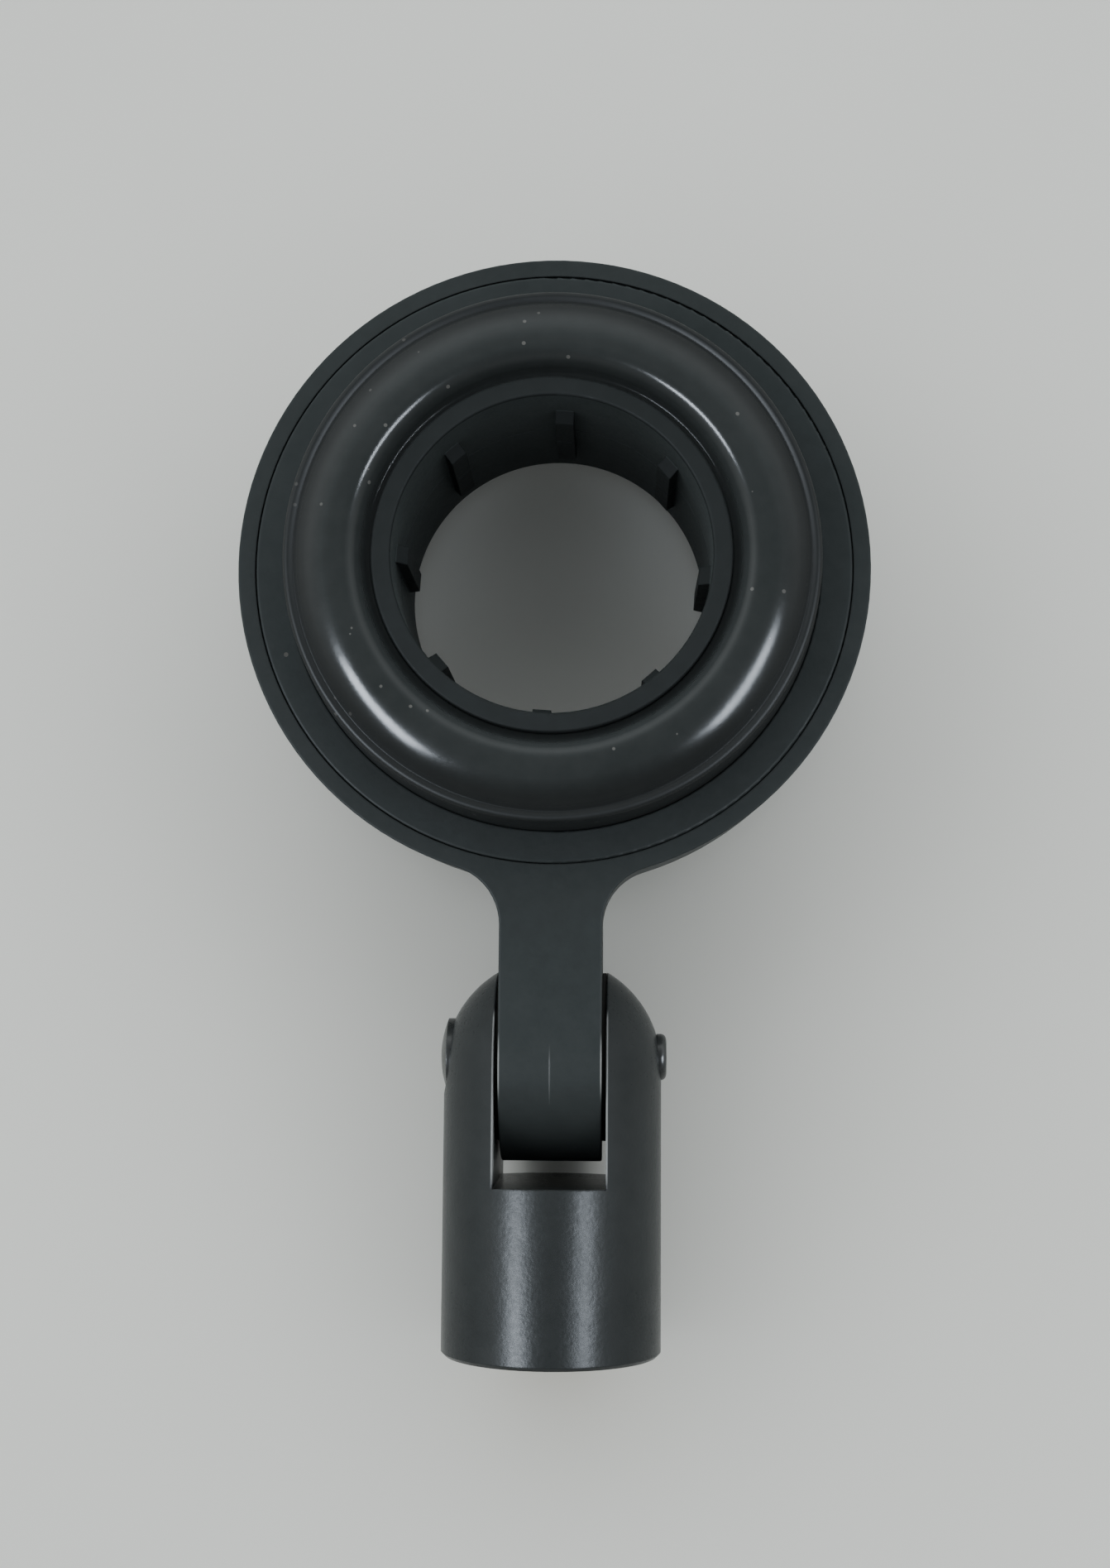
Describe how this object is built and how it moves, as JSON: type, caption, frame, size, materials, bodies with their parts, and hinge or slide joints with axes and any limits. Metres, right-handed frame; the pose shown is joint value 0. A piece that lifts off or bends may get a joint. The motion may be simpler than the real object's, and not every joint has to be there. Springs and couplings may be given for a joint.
{
  "type": "microphone shock mount holder",
  "caption": "Swivel stand holder whose ring suspends a ribbed gripping sleeve in soft rubber rolls, for isolating a hand microphone from stand noise.",
  "frame": {"origin": "centre of the stand socket's mouth, on the axis of its thread", "axes": "+Y along the stand adapter from the socket's mouth to the ring, +Z out of the ring's upper face, +X along the pivot from the rivet's head to its rolled end"},
  "size_m": [0.0686, 0.1193, 0.0312],
  "materials": {
    "body_black": "satin black, fine mottled grain",
    "liner_brass": "machined, dull",
    "rivet_black": "black satin coat",
    "washer_fibre": "pressed fibre, matte",
    "carrier_charcoal": "satin charcoal, fine grain",
    "roll_rubber": "soft black rubber, satin",
    "sleeve_black": "satin black"
  },
  "bodies": {
    "stand": {"stand_body": "body_black", "thread_insert": "liner_brass", "pivot_rivet": "rivet_black", "friction_washer_left": "washer_fibre", "friction_washer_right": "washer_fibre"},
    "arm": {"ring_carrier": "carrier_charcoal", "retaining_ring_top": "carrier_charcoal", "retaining_ring_bottom": "carrier_charcoal", "isolator_top": "roll_rubber", "isolator_bottom": "roll_rubber"},
    "sleeve": {"sleeve_upper": "sleeve_black", "sleeve_lower": "sleeve_black", "sleeve_spacer": "sleeve_black"}
  },
  "joints": [
    {"name": "arm_tilt", "type": "hinge", "parent": "stand", "child": "arm", "pos_m": [0, 0.0321, 0], "axis": [1, 0, 0], "range_deg": [-110, 98]},
    {"name": "sleeve_float", "type": "slide", "parent": "arm", "child": "sleeve", "axis": [0, 0, 1], "range_m": [-0.0025, 0.0025], "stiffness_N_per_m": 2500, "deforming": ["isolator_top", "isolator_bottom"]}
  ]
}
